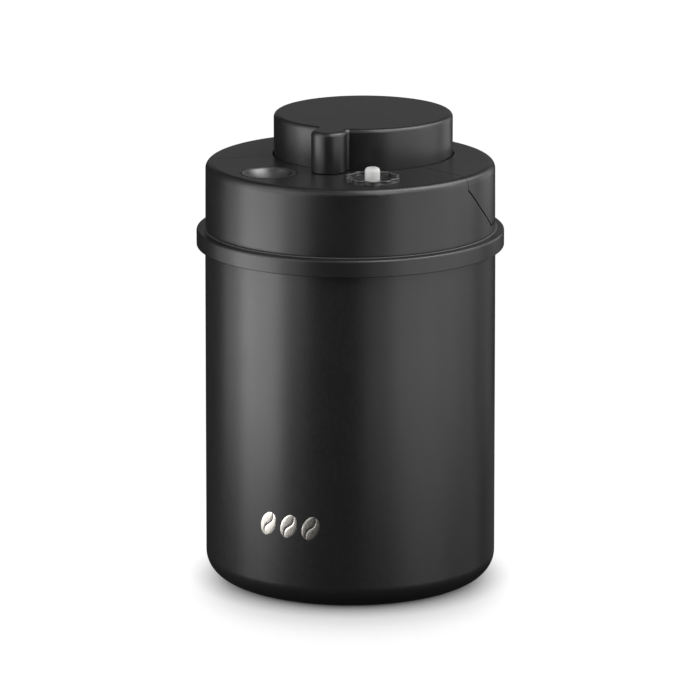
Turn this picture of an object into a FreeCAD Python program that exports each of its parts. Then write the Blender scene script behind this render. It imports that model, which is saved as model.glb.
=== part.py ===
import FreeCAD, Part
import math
import os
import Sketcher
from FreeCAD import Vector, Placement, Rotation

# Vacuum seal canister: a coated steel cup with a plug lid.  The off-centre knob
# on the lid turns a shaft and pinion; the pinion drives a rack with a piston in
# a small cylinder that pumps air out of the cup.  A dished button lets air back
# in and a white pin shows the vacuum.
# Frame: origin at the middle of the base, +Z up, front is -Y, +X to the right.

doc = FreeCAD.newDocument("VacuumCanister")
sheet = doc.addObject("Spreadsheet::Sheet", "Params")

SIZES = [
    # cup
    ("CupRadius", 58.5, "outer radius of the steel cup"),
    ("CupWall", 0.8, "sheet thickness"),
    ("CupFoot", 0.4, "height of the steel above the table"),
    ("CupTop", 143.0, "top edge of the steel"),
    ("CupFlare", 0.5, "how much wider the steel is at its foot"),
    ("CupFillet", 12.0, "outer rounding of the foot"),
    ("PadRadius", 37.0, "base pad radius"),
    ("PadThick", 1.5, "base pad thickness"),
    # collar
    ("CollarRadius", 62.0, "outer radius of the mouth collar"),
    ("CollarBottom", 137.5, "lower edge of the collar"),
    ("CollarTop", 144.3, "top face of the collar"),
    ("CollarBore", 57.0, "mouth radius inside the collar"),
    ("CollarSkirt", 128.0, "lower edge of the collar's inner leg"),
    ("CollarRound", 1.0, "rounding of the outer top edge"),
    # lid plug
    ("PlugBottom", 128.0, "underside of the plug"),
    ("PlugFloor", 130.5, "top of the plug floor"),
    ("PlugRadius", 54.2, "outer radius of the plug wall"),
    ("PlugWall", 2.0, "plug wall thickness"),
    ("PlugLip", 56.0, "radius of lip and flange"),
    ("FlangeBottom", 143.2, "underside of the plug flange"),
    ("FlangeTop", 150.0, "top of the plug flange and bosses"),
    # lid covers
    ("SkirtBottom", 144.8, "lower edge of the lid skirt"),
    ("SkirtRadius", 58.4, "lid radius at the lower edge"),
    ("LidRadius", 58.2, "lid radius at the top"),
    ("LidInner", 56.2, "inner radius of the lid skirt"),
    ("GasketLip", 59.2, "radius of the gasket lip between lid and collar"),
    ("LidTop", 171.7, "top face of the lid"),
    ("LidPlate", 2.2, "top plate thickness"),
    ("LidRound", 3.0, "rounding of the lid's top edge"),
    ("SeamGap", 0.6, "gap between the two covers on the wall"),
    ("SeamGapTop", 0.25, "gap between the two covers on the top"),
    ("SeamHalf", 59.0, "half angle of the front cover about the knob"),
    ("SeamBand", 147.9, "height of the low seam round the back"),
    ("SeamLowY", 3.9, "where the slanted seam meets the low seam"),
    ("SeamHighY", -17.6, "where the slanted seam meets the upright one"),
    ("SeamHighZ", 166.4, "height of that corner"),
    ("SeamMidY", -8.2, "bend of the slanted seam"),
    ("SeamMidZ", 157.3, "height of that bend"),
    # knob
    ("KnobY", 15.75, "knob axis behind the lid's middle"),
    ("KnobRadius", 36.2, "knob radius"),
    ("KnobTop", 188.4, "top of the knob"),
    ("KnobLip", 172.1, "underside of the finger bump"),
    ("KnobSkirt", 167.0, "lower edge of the knob in its well"),
    ("KnobRound", 1.9, "rounding of the knob's top edge"),
    ("KnobPlate", 2.5, "knob top thickness"),
    ("KnobWall", 2.4, "knob wall thickness"),
    ("BumpReach", 39.75, "bump centre from the knob axis"),
    ("BumpRadius", 7.0, "bump radius"),
    ("BumpFillet", 1.3, "hollow rounding beside the bump"),
    ("BumpTurn", -0.85, "turn of the bump off the front, in degrees"),
    ("WellRadius", 36.65, "radius of the well the knob sits in"),
    ("WellWall", 2.0, "well wall thickness"),
    ("WellBottom", 163.0, "lower edge of the well wall"),
    # drive
    ("ShaftRadius", 4.0, "drive shaft radius"),
    ("BushBore", 4.05, "bore of the bushes"),
    ("BushRadius", 6.0, "outer radius of the bushes"),
    ("DeckBottom", 162.0, "underside of the bearing deck"),
    ("DeckThick", 2.5, "deck thickness"),
    ("DeckRadius", 36.2, "deck radius"),
    ("GearModule", 1.1, "gear module"),
    ("GearTeeth", 18, "pinion teeth"),
    ("GearThin", 0.22, "thinning of each tooth for play"),
    ("GearBottom", 142.8, "underside of the pinion teeth"),
    ("GearFace", 9.0, "pinion tooth length"),
    ("RackBottom", 143.0, "underside of the rack"),
    ("RackHeight", 8.0, "rack height"),
    ("RackBack", -3.0, "plain back of the rack"),
    ("PumpY", 1.5, "pump axis, sideways"),
    ("PumpZ", 147.0, "pump axis height"),
    ("PumpBore", 12.0, "pump bore radius"),
    ("PumpRadius", 14.0, "pump outer radius"),
    ("PumpLeft", -49.0, "closed end of the pump"),
    ("PumpRight", -18.0, "open end of the pump"),
    ("PistonLeft", -24.5, "piston crown"),
    ("PistonRight", -18.5, "piston back"),
    # release button
    ("ButtonX", -22.3, "button axis"),
    ("ValveY", -34.0, "axis of button and indicator"),
    ("ButtonRadius", 10.7, "button radius"),
    ("ButtonHole", 11.0, "button hole radius"),
    ("ButtonDish", 4.8, "depth of the dish"),
    ("StemRadius", 2.5, "valve stem radius"),
    # indicator
    ("IndicatorX", 21.2, "indicator axis"),
    ("PinRadius", 3.0, "white pin radius"),
    ("PinTop", 176.9, "top of the white pin"),
    ("RingRadius", 11.25, "foot radius of the scalloped collar"),
    ("RingProud", 1.6, "height of the scalloped collar over the lid"),
    ("RingWave", 0.7, "half height of the scallops, across"),
    ("RingLobes", 10, "scallops round the collar"),
    ("RingTurn", -70.6, "direction of one scallop's crest, degrees from +X"),
    ("WellTube", 5.05, "bore of the indicator tube"),
    # fasteners
    ("ScrewRadius", 1.4, "screw shank radius"),
    ("ScrewHead", 2.8, "screw head radius"),
]


class Dim:
    """A size with its number and the sheet formula that drives it."""

    def __init__(self, value, text):
        self.value = float(value)
        self.text = text

    def __add__(self, o):
        o = dim(o)
        return Dim(self.value + o.value, "(%s + %s)" % (self.text, o.text))

    def __sub__(self, o):
        o = dim(o)
        return Dim(self.value - o.value, "(%s - %s)" % (self.text, o.text))

    def __mul__(self, o):
        o = dim(o)
        return Dim(self.value * o.value, "(%s * %s)" % (self.text, o.text))

    def __truediv__(self, o):
        o = dim(o)
        return Dim(self.value / o.value, "(%s / %s)" % (self.text, o.text))

    def __neg__(self):
        return Dim(-self.value, "(0 - %s)" % self.text)

    __radd__ = __add__

    def __rsub__(self, o):
        return dim(o) - self

    def __rmul__(self, o):
        return self * o


def dim(v):
    if isinstance(v, Dim):
        return v
    if v < 0:
        return Dim(v, "(0 - %r)" % float(-v))
    return Dim(v, "%r" % float(v))


class Sizes:
    pass


s = Sizes()
sheet.set("A1", "size")
sheet.set("B1", "mm")
sheet.set("C1", "what it is")
for row, (alias, number, note) in enumerate(SIZES, start=2):
    sheet.set("A%d" % row, alias)
    sheet.set("B%d" % row, str(number))
    sheet.setAlias("B%d" % row, alias)
    sheet.set("C%d" % row, note)
    setattr(s, alias, Dim(number, "Params." + alias))
doc.recompute()

NODES = []


def node(obj, label):
    obj.Label = label
    NODES.append((label, obj))
    return obj


def bind(obj, prop, size):
    size = dim(size)
    if "Params." in size.text or prop.startswith("Placement"):
        obj.setExpression(prop, size.text)
    else:
        setattr(obj, prop, size.value)


def place(obj, x=0, y=0, z=0, rot=None):
    obj.Placement = Placement(Vector(dim(x).value, dim(y).value, dim(z).value), rot or Rotation())
    for axis, size in (("x", x), ("y", y), ("z", z)):
        if isinstance(size, Dim):
            obj.setExpression("Placement.Base." + axis, size.text)


def cylinder(name, radius, height, x=0, y=0, z=0, angle=None, rot=None):
    o = doc.addObject("Part::Cylinder", name)
    bind(o, "Radius", radius)
    bind(o, "Height", height)
    if angle is not None:
        bind(o, "Angle", angle)
    place(o, x, y, z, rot)
    return o


def rod(name, radius, z_low, z_high, x=0, y=0):
    return cylinder(name, radius, dim(z_high) - z_low, x, y, z_low)


def box(name, x0, x1, y0, y1, z0, z1):
    o = doc.addObject("Part::Box", name)
    bind(o, "Length", dim(x1) - x0)
    bind(o, "Width", dim(y1) - y0)
    bind(o, "Height", dim(z1) - z0)
    place(o, x0, y0, z0)
    return o


def fuse(name, parts):
    if len(parts) == 1:
        return parts[0]
    o = doc.addObject("Part::MultiFuse", name)
    o.Shapes = parts
    return o


def cut(name, base, tool):
    o = doc.addObject("Part::Cut", name)
    o.Base = base
    o.Tool = tool
    return o


def common(name, base, tool):
    o = doc.addObject("Part::Common", name)
    o.Base = base
    o.Tool = tool
    return o


def origin_plane(body, role):
    for f in body.Origin.OriginFeatures:
        if f.Role == role:
            return f
    raise ValueError(role)


def new_sketch(body, name, role):
    sk = body.newObject("Sketcher::SketchObject", name)
    sk.AttachmentSupport = [(origin_plane(body, role), "")]
    sk.MapMode = "FlatFace"
    return sk


def fix_point(sk, geo, pos, u, v):
    for kind, axis, size in (("DistanceX", -2, dim(u)), ("DistanceY", -1, dim(v))):
        if size.value == 0 and "Params." not in size.text:
            sk.addConstraint(Sketcher.Constraint("PointOnObject", geo, pos, axis))
            continue
        c = sk.addConstraint(Sketcher.Constraint(kind, -1, 1, geo, pos, size.value))
        if "Params." in size.text:
            sk.setExpression("Constraints[%d]" % c, size.text)


def outline(sk, pts):
    n = len(pts)
    xy = [Vector(dim(a).value, dim(b).value, 0) for a, b in pts]
    for i in range(n):
        sk.addGeometry(Part.LineSegment(xy[i], xy[(i + 1) % n]), False)
    for i in range(n):
        sk.addConstraint(Sketcher.Constraint("Coincident", i, 2, (i + 1) % n, 1))
    for i, (a, b) in enumerate(pts):
        fix_point(sk, i, 1, a, b)
    return sk


def turned(name, pts, x=0, y=0, z=0, rot=None):
    """A turned piece: (radius, height) outline spun about the upright axis."""
    body = doc.addObject("PartDesign::Body", name)
    sk = outline(new_sketch(body, name + "_profile", "XZ_Plane"), pts)
    rev = body.newObject("PartDesign::Revolution", name + "_turn")
    rev.Profile = sk
    rev.ReferenceAxis = (sk, ["V_Axis"])
    rev.Angle = 360
    place(body, x, y, z, rot)
    doc.recompute()
    return body


def extruded(name, role, pts, length, x=0, y=0, z=0):
    body = doc.addObject("PartDesign::Body", name)
    sk = outline(new_sketch(body, name + "_profile", role), pts)
    pad = body.newObject("PartDesign::Pad", name + "_pad")
    pad.Profile = sk
    bind(pad, "Length", length)
    place(body, x, y, z)
    doc.recompute()
    return body


def round_off(body, name, radius, pick):
    doc.recompute()
    tip = body.Tip
    names = ["Edge%d" % (i + 1) for i, e in enumerate(tip.Shape.Edges) if pick(e)]
    if not names:
        raise ValueError("no edge to round: " + name)
    f = body.newObject("PartDesign::Fillet", name)
    f.Base = (tip, names)
    bind(f, "Radius", radius)
    doc.recompute()
    return f


def ring_edge(radius, height, tol=0.05):
    radius, height = dim(radius).value, dim(height).value

    def pick(e):
        if e.Degenerated:
            return False
        c = e.Curve
        return (isinstance(c, Part.Circle) and abs(c.Radius - radius) < tol
                and abs(c.Center.z - height) < tol)
    return pick


def group(name, parts):
    o = doc.addObject("Part::Compound", name)
    o.Links = parts
    return o


# ---------------------------------------------------------------- the cup
cup = turned("canister_body", [
    (0, s.PadThick), (s.PadRadius + 1.5, s.PadThick), (s.PadRadius + 3.0, s.CupFoot),
    (s.CupRadius + s.CupFlare, s.CupFoot), (s.CupRadius, s.CupTop), (s.CupRadius - s.CupWall, s.CupTop),
    (s.CupRadius + s.CupFlare - s.CupWall, s.CupFoot + s.CupWall),
    (s.PadRadius + 3.3, s.CupFoot + s.CupWall), (s.PadRadius + 1.8, s.PadThick + s.CupWall),
    (0, s.PadThick + s.CupWall)])
round_off(cup, "foot_outer", s.CupFillet, ring_edge(s.CupRadius + s.CupFlare, s.CupFoot))
round_off(cup, "foot_inner", s.CupFillet - s.CupWall,
          ring_edge(s.CupRadius + s.CupFlare - s.CupWall, s.CupFoot + s.CupWall))
node(cup, "canister_body")

pad = turned("base_pad", [
    (0, 0.25), (s.PadRadius - 9.0, 0.25), (s.PadRadius - 9.6, 0), (s.PadRadius, 0),
    (s.PadRadius, s.PadThick), (0, s.PadThick)])
round_off(pad, "pad_edge", 0.4, ring_edge(s.PadRadius, 0))
node(pad, "base_pad")

collar = turned("collar_ring", [
    (s.CupRadius + 0.1, s.CollarBottom), (s.CollarRadius, s.CollarBottom),
    (s.CollarRadius, s.CollarTop), (s.CollarBore, s.CollarTop), (s.CollarBore, s.CollarSkirt),
    (s.CollarBore + 0.6, s.CollarSkirt), (s.CollarBore + 0.6, s.CupTop + 0.1),
    (s.CupRadius + 0.1, s.CupTop + 0.1)])
round_off(collar, "collar_top_edge", s.CollarRound, ring_edge(s.CollarRadius, s.CollarTop))
round_off(collar, "collar_low_edge", 0.3, ring_edge(s.CollarRadius, s.CollarBottom))
round_off(collar, "collar_mouth_edge", 0.5, ring_edge(s.CollarBore, s.CollarTop))
node(collar, "collar_ring")

# ---------------------------------------------------------------- lid plug
PORT_X, PORT_Y = -43.5, s.PumpY
COVER_SCREWS = [(44.0, -20.0), (-44.0, -20.0), (0.0, -48.0), (40.0, 29.0), (-40.0, 29.0)]
DECK_POSTS = [(22.0, 38.0), (-22.0, 38.0), (12.0, -13.0), (-12.0, -13.0)]
BASE_BOSSES = [(-31.0, -15.5), (-31.0, 18.5), (-1.0, -5.0), (29.0, -5.0)]

plug = turned("plug_shell", [
    (0, s.PlugBottom), (s.PlugLip, s.PlugBottom), (s.PlugLip, s.PlugBottom + 3.0),
    (s.PlugRadius, s.PlugBottom + 3.0), (s.PlugRadius, s.FlangeBottom),
    (s.PlugLip, s.FlangeBottom), (s.PlugLip, s.FlangeTop),
    (s.PlugRadius - s.PlugWall, s.FlangeTop), (s.PlugRadius - s.PlugWall, s.PlugFloor),
    (0, s.PlugFloor)])
round_off(plug, "plug_lip_edge", 1.0, ring_edge(s.PlugLip, s.PlugBottom))

adds = [plug]
cuts = []
low = s.PlugFloor - 0.5
adds.append(rod("boss_shaft", s.BushRadius + 1.8, low, 141.5, 0, s.KnobY))
cuts.append(rod("bore_shaft", s.BushRadius + 0.02, 132.0, 142.0, 0, s.KnobY))
cuts.append(rod("bore_shaft_end", s.ShaftRadius + 0.5, 130.8, 133.0, 0, s.KnobY))
adds.append(rod("boss_stem", s.StemRadius + 2.3, low, s.FlangeTop, s.ButtonX, s.ValveY))
cuts.append(rod("bore_stem", s.StemRadius + 0.35, 127.0, 151.0, s.ButtonX, s.ValveY))
adds.append(rod("boss_indicator", s.WellTube + 1.8, low, 152.0, s.IndicatorX, s.ValveY))
cuts.append(rod("bore_indicator", s.WellTube, s.PlugFloor, 153.0, s.IndicatorX, s.ValveY))
cuts.append(rod("port_indicator", 1.2, 127.0, s.PlugFloor + 0.2, s.IndicatorX, s.ValveY))
cuts.append(rod("hole_valve_stem", 1.1, 127.0, 131.0, PORT_X, PORT_Y))
for k in range(4):
    a = math.radians(45 + 90 * k)
    cuts.append(rod("hole_air_%d" % k, 0.6, 127.0, 131.0,
                    PORT_X + 2.5 * math.cos(a), PORT_Y + 2.5 * math.sin(a)))
for k, (x, y) in enumerate(COVER_SCREWS):
    adds.append(rod("boss_cover_%d" % k, 4.6, low, s.FlangeTop, x, y))
    cuts.append(rod("sink_cover_%d" % k, s.ScrewHead + 0.3, 127.0, s.FlangeTop - 4.0, x, y))
    cuts.append(rod("hole_cover_%d" % k, s.ScrewRadius + 0.3, 140.0, s.FlangeTop + 1.0, x, y))
for k, (x, y) in enumerate(DECK_POSTS):
    adds.append(rod("post_deck_%d" % k, 3.5, low, s.DeckBottom, x, y))
    cuts.append(rod("hole_deck_%d" % k, s.ScrewRadius + 0.05, 152.0, s.DeckBottom + 1.0, x, y))
for k, (x, y) in enumerate(BASE_BOSSES):
    adds.append(rod("boss_base_%d" % k, 3.5, low, 136.0, x, y))
    cuts.append(rod("hole_base_%d" % k, s.ScrewRadius + 0.05, 131.2, 137.0, x, y))
chassis = cut("lid_chassis", fuse("chassis_solid", adds), fuse("chassis_holes", cuts))
node(chassis, "lid_chassis")

g = s.PlugRadius + 0.05
gasket = turned("lid_gasket", [
    (g, s.PlugBottom + 3.1), (g + 1.35, s.PlugBottom + 3.1), (s.CollarBore - 0.15, 132.7),
    (s.CollarBore - 0.15, 133.2), (g + 1.35, 133.8), (g + 1.35, 136.4),
    (s.CollarBore - 0.15, 137.8), (s.CollarBore - 0.15, 138.3), (g + 1.35, 138.9),
    (g + 1.35, 141.5), (s.CollarBore - 0.3, 141.5), (s.CollarBore - 0.3, s.CollarTop),
    (s.GasketLip, s.CollarTop), (s.GasketLip, s.SkirtBottom - 0.02),
    (s.PlugLip + 0.05, s.SkirtBottom - 0.02), (s.PlugLip + 0.05, s.FlangeBottom - 0.05),
    (g, s.FlangeBottom - 0.05)])
round_off(gasket, "gasket_lip_edge", 0.3, ring_edge(s.GasketLip, s.SkirtBottom - 0.02))
node(gasket, "lid_gasket")

# ---------------------------------------------------------------- lid covers
shell = turned("cover_shell", [
    (s.LidInner, s.SkirtBottom), (s.SkirtRadius, s.SkirtBottom), (s.LidRadius, s.LidTop),
    (0, s.LidTop), (0, s.LidTop - s.LidPlate), (s.LidInner, s.LidTop - s.LidPlate)])
round_off(shell, "lid_top_edge", s.LidRound, ring_edge(s.LidRadius, s.LidTop))
round_off(shell, "lid_low_edge", 0.2, ring_edge(s.SkirtRadius, s.SkirtBottom))

under = s.LidTop - s.LidPlate + 0.2
adds = [shell,
        rod("well_tube", s.WellRadius + s.WellWall, s.WellBottom, under, 0, s.KnobY),
        rod("button_tube", s.ButtonHole + 1.6, 161.0, under, s.ButtonX, s.ValveY)]
cuts = [rod("well_hole", s.WellRadius, 150.0, 180.0, 0, s.KnobY),
        rod("button_hole", s.ButtonHole, 155.0, 180.0, s.ButtonX, s.ValveY),
        rod("ring_hole", s.RingRadius - 1.65, 155.0, 180.0, s.IndicatorX, s.ValveY)]
for k, (x, y) in enumerate(COVER_SCREWS):
    adds.append(rod("cover_boss_%d" % k, 3.6, s.FlangeTop + 0.02, under, x, y))
    cuts.append(rod("cover_pilot_%d" % k, s.ScrewRadius + 0.03, s.FlangeTop - 1.0, 160.0, x, y))
blank = cut("cover_blank", fuse("cover_solid", adds), fuse("cover_holes", cuts))
doc.recompute()
soft = doc.addObject("Part::Fillet", "cover_rounded")
soft.Base = blank
picked = []
for i, e in enumerate(blank.Shape.Edges):
    for r, f in ((s.WellRadius, 0.35), (s.ButtonHole, 0.5)):
        if ring_edge(r, s.LidTop)(e):
            picked.append((i + 1, f, f))
soft.Edges = picked
doc.recompute()


def rear_zone(name, top_gap, wall_gap):
    """The space of the rear cover: behind two upright planes through the knob
    axis and above a seam that slants down each side and runs round the back."""
    half = math.radians(s.SeamHalf.value)
    sector = cylinder(name + "_sector", 140.0, 120.0, 0, s.KnobY + top_gap / math.sin(half), 120.0,
                      angle=360.0 - 2 * s.SeamHalf,
                      rot=Rotation(Vector(0, 0, 1), s.SeamHalf.value - 90.0))
    # the slanted edge has two runs; both move out by the gap
    fall_y = s.SeamHighY - s.SeamLowY
    fall_z = s.SeamHighZ - s.SeamBand
    run = math.hypot(fall_y.value, fall_z.value)
    ny, nz = fall_z.value / run * wall_gap, -fall_y.value / run * wall_gap
    up_y, up_z = s.SeamHighY - s.SeamMidY, s.SeamHighZ - s.SeamMidZ
    slide = ny + (s.SeamLowY.value - s.SeamMidY.value) * (wall_gap - nz) / (s.SeamBand.value - s.SeamMidZ.value)
    prism = extruded(name + "_prism", "YZ_Plane", [
        (s.SeamLowY + slide, s.SeamBand + wall_gap), (s.SeamMidY + ny, s.SeamMidZ + nz),
        (s.SeamHighY + up_y * 1.2 + ny, s.SeamHighZ + up_z * 1.2 + nz),
        (s.SeamHighY + up_y * 1.2 + ny, 230.0), (90.0, 230.0),
        (90.0, s.SeamBand + wall_gap)], 160.0, -80.0)
    return common(name, sector, prism)


front = cut("front_cover", soft, rear_zone("rear_space", 0.0, 0.0))
node(front, "front_cover")
rear = common("rear_cover", soft, rear_zone("rear_fill", s.SeamGapTop.value, s.SeamGap.value))
node(rear, "rear_cover")

# ---------------------------------------------------------------- bearing deck
deck_plate = rod("deck_plate", s.DeckRadius, s.DeckBottom, s.DeckBottom + s.DeckThick, 0, s.KnobY)
deck_boss = rod("deck_boss", s.BushRadius + 2.2, 157.0, 166.0, 0, s.KnobY)
cuts = [rod("deck_bore", s.BushRadius + 0.02, 150.0, 170.0, 0, s.KnobY)]
for k, (x, y) in enumerate(DECK_POSTS):
    cuts.append(rod("deck_hole_%d" % k, s.ScrewRadius + 0.2, 161.0, 166.0, x, y))
    o = doc.addObject("Part::Cone", "deck_sink_%d" % k)
    bind(o, "Radius1", s.ScrewRadius + 0.2)
    bind(o, "Radius2", s.ScrewRadius + 1.85)
    o.Height = 1.65
    place(o, x, y, s.DeckBottom + s.DeckThick - 1.6)
    cuts.append(o)
turn = Rotation(Vector(0, 0, 1), -39.0)
slot_out = cylinder("stop_slot_out", 26.6, 10.0, 0, s.KnobY, 158.0, angle=138.0, rot=turn)
slot_in = cylinder("stop_slot_in", 21.4, 14.0, 0, s.KnobY, 156.0)
cuts.append(cut("stop_slot", slot_out, slot_in))
deck = cut("bearing_deck", fuse("deck_solid", [deck_plate, deck_boss]), fuse("deck_holes", cuts))
node(deck, "bearing_deck")

node(turned("upper_bush", [
    (s.BushBore, 157.0), (s.BushRadius, 157.0), (s.BushRadius, 166.0), (s.BushRadius + 1.6, 166.0),
    (s.BushRadius + 1.6, 166.9), (s.BushBore, 166.9)], 0, s.KnobY), "upper_bush")
node(turned("lower_bush", [
    (s.BushBore, 132.0), (s.BushRadius, 132.0), (s.BushRadius, 141.5), (s.BushRadius + 1.4, 141.5),
    (s.BushRadius + 1.4, 142.3), (s.BushBore, 142.3)], 0, s.KnobY), "lower_bush")

# ---------------------------------------------------------------- pump
lying = Rotation(Vector(0, 1, 0), 90)
barrel = turned("pump_barrel", [
    (0, s.PumpLeft), (s.PumpRadius, s.PumpLeft), (s.PumpRadius, s.PumpRight), (0, s.PumpRight)],
    0, s.PumpY, s.PumpZ, lying)
bore = turned("pump_bore", [
    (0, s.PumpLeft + 2.5), (s.PumpBore, s.PumpLeft + 2.5), (s.PumpBore, s.PumpRight + 5.0),
    (0, s.PumpRight + 5.0)], 0, s.PumpY, s.PumpZ, lying)
port_boss = rod("port_boss", 6.0, s.PlugFloor + 0.02, 140.0, PORT_X, PORT_Y)
foot = box("pump_foot", -36.0, -26.0, -19.5, 22.5, 136.02, 138.5)
holes = [bore, rod("port_chamber", 4.7, 130.0, 132.9, PORT_X, PORT_Y),
         rod("port_way", 1.8, 132.0, 140.0, PORT_X, PORT_Y)]
for k, (x, y) in enumerate(BASE_BOSSES[:2]):
    holes.append(rod("pump_hole_%d" % k, s.ScrewRadius + 0.2, 135.0, 140.0, x, y))
pump = cut("pump_cylinder", fuse("pump_solid", [barrel, port_boss, foot]), fuse("pump_holes", holes))
node(pump, "pump_cylinder")

guide_bar = extruded("guide_bar", "YZ_Plane", [
    (-7.0, s.PlugFloor + 0.02), (3.0, s.PlugFloor + 0.02), (3.0, s.RackBottom - 0.15),
    (s.RackBack - 0.15, s.RackBottom - 0.15),
    (s.RackBack - 0.15, s.RackBottom + s.RackHeight + 0.15),
    (0.5, s.RackBottom + s.RackHeight + 0.15), (0.5, s.RackBottom + s.RackHeight + 2.2),
    (-7.0, s.RackBottom + s.RackHeight + 2.2)], 20.5, 3.5)
guide_foot = box("guide_foot", -4.5, 32.5, -7.0, -3.0, 136.02, 138.5)
guide = cut("rack_guide", fuse("guide_solid", [guide_bar, guide_foot]),
            fuse("guide_holes", [rod("guide_hole_%d" % k, s.ScrewRadius + 0.2, 135.0, 140.0, x, y)
                                 for k, (x, y) in enumerate(BASE_BOSSES[2:])]))
node(guide, "rack_guide")

node(turned("inlet_valve", [
    (0, 127.0), (1.0, 127.0), (1.0, 130.55), (3.9, 130.55), (3.9, 131.0), (1.6, 131.6),
    (0, 131.6)], PORT_X, PORT_Y), "inlet_valve")
ring_f = turned("filter_ring", [
    (5.0, 126.0), (7.2, 126.0), (7.2, 127.98), (6.2, 127.98), (6.2, 126.8), (5.0, 126.8)],
    PORT_X, PORT_Y)
node(ring_f, "filter_ring")
node(turned("filter_screen", [(0, 126.62 + 0.2), (6.15, 126.82), (6.15, 126.95), (0, 126.95)],
            PORT_X, PORT_Y), "filter_screen")


# ---------------------------------------------------------------- indicator collar
def wave_wire(mean, wave, lobes, z, phase):
    pts = []
    n = lobes * 8
    for i in range(n):
        a = 2 * math.pi * i / n
        r = mean + wave * math.cos(lobes * a + phase)
        pts.append(Vector(r * math.cos(a), r * math.sin(a), z))
    curve = Part.BSplineCurve()
    curve.interpolate(pts, PeriodicFlag=True)
    return Part.Wire([curve.toShape()])


# the rim is round at its foot and wavy at its top; its wall leans in
r0 = s.RingRadius.value
lobes = int(s.RingLobes.value)
wave = s.RingWave.value
proud = s.RingProud.value
phase = -lobes * math.radians(s.RingTurn.value)
top = s.LidTop.value
outer = Part.makeLoft([wave_wire(r0, 0.0001, lobes, top + 0.02, phase),
                       wave_wire(r0 - 0.75, wave * 0.6, lobes, top + proud * 0.6, phase),
                       wave_wire(r0 - 1.0, wave, lobes, top + proud, phase)], True, False)
inner = Part.makeLoft([wave_wire(r0 - 2.9, wave * 0.4, lobes, top + 0.1, phase),
                       wave_wire(r0 - 1.75, wave, lobes, top + proud + 0.05, phase)], True, False)
neck = Part.makeCylinder(r0 - 1.85, 8.3, Vector(0, 0, top - 8.1))
rim = outer.fuse(neck).cut(inner)
for k, (r, depth) in enumerate(((7.4, 0.5), (6.2, 0.9), (5.0, 1.3))):
    rim = rim.cut(Part.makeCylinder(r, 4.0, Vector(0, 0, top + 0.1 - depth)))
rim = rim.cut(Part.makeCylinder(s.PinRadius.value + 0.25, 30.0, Vector(0, 0, top - 15.0)))
rim = rim.cut(Part.makeCylinder(r0 - 3.6, 5.3, Vector(0, 0, top - 9.0)))
rim = rim.removeSplitter()
ring_obj = doc.addObject("Part::Feature", "indicator_collar")
ring_obj.Shape = rim
place(ring_obj, s.IndicatorX, s.ValveY, 0)
node(ring_obj, "indicator_collar")


# ---------------------------------------------------------------- springs
def coil(name, radius, wire, z0, z1, turns, x, y):
    # wire of six flats along a helix, closed by its two ends
    height = z1 - z0 - wire
    steps, flats = 14 * turns, 6
    rings = []
    for i in range(steps + 1):
        a = 2 * math.pi * turns * i / steps
        out = Vector(math.cos(a), math.sin(a), 0)
        mid = out * radius + Vector(0, 0, height * i / steps)
        rings.append([mid + out * (wire / 2 * math.cos(math.pi * k / 3))
                      + Vector(0, 0, wire / 2 * math.sin(math.pi * k / 3)) for k in range(flats)])
    faces = [Part.Face(Part.makePolygon(rings[0] + rings[0][:1])),
             Part.Face(Part.makePolygon(rings[-1] + rings[-1][:1]))]
    for low_ring, high_ring in zip(rings, rings[1:]):
        for k in range(flats):
            n = (k + 1) % flats
            for tri in ((low_ring[k], low_ring[n], high_ring[n]), (low_ring[k], high_ring[n], high_ring[k])):
                faces.append(Part.Face(Part.makePolygon(list(tri) + [tri[0]])))
    shell_c = Part.makeShell(faces)
    shell_c.sewShape()
    solid = Part.makeSolid(shell_c)
    if solid.Volume < 0:
        solid.reverse()
    o = doc.addObject("Part::Feature", name)
    o.Shape = solid
    place(o, x, y, z0 + wire / 2)
    return node(o, name)


coil("button_spring", 4.0, 0.8, s.FlangeTop.value + 0.05, 162.8, 5, s.ButtonX, s.ValveY)
coil("indicator_spring", 3.9, 0.6, s.PlugFloor.value + 0.05, 141.9, 5, s.IndicatorX, s.ValveY)

# ---------------------------------------------------------------- fasteners of the lid
screws = []
for k, (x, y) in enumerate(COVER_SCREWS):
    screws.append(turned("cover_screw_%d" % k, [
        (0, s.FlangeTop - 6.2), (s.ScrewHead, s.FlangeTop - 6.2), (s.ScrewHead, s.FlangeTop - 4.05),
        (s.ScrewRadius, s.FlangeTop - 4.05), (s.ScrewRadius, 158.0), (0, 159.0)], x, y))
node(group("cover_screws", screws), "cover_screws")
screws = []
for k, (x, y) in enumerate(DECK_POSTS):
    screws.append(turned("deck_screw_%d" % k, [
        (0, 153.0), (s.ScrewRadius, 154.0), (s.ScrewRadius, 162.95), (s.ScrewRadius + 1.5, 164.45),
        (1.2, 164.45), (1.2, 163.6), (0, 163.6)], x, y))
node(group("deck_screws", screws), "deck_screws")
screws = []
for k, (x, y) in enumerate(BASE_BOSSES):
    screws.append(turned("base_screw_%d" % k, [
        (0, 131.6), (s.ScrewRadius, 132.4), (s.ScrewRadius, 138.52), (s.ScrewHead - 0.2, 138.52),
        (s.ScrewHead - 0.2, 140.2), (1.1, 140.2), (1.1, 139.3), (0, 139.3)], x, y))
node(group("base_screws", screws), "base_screws")

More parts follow.
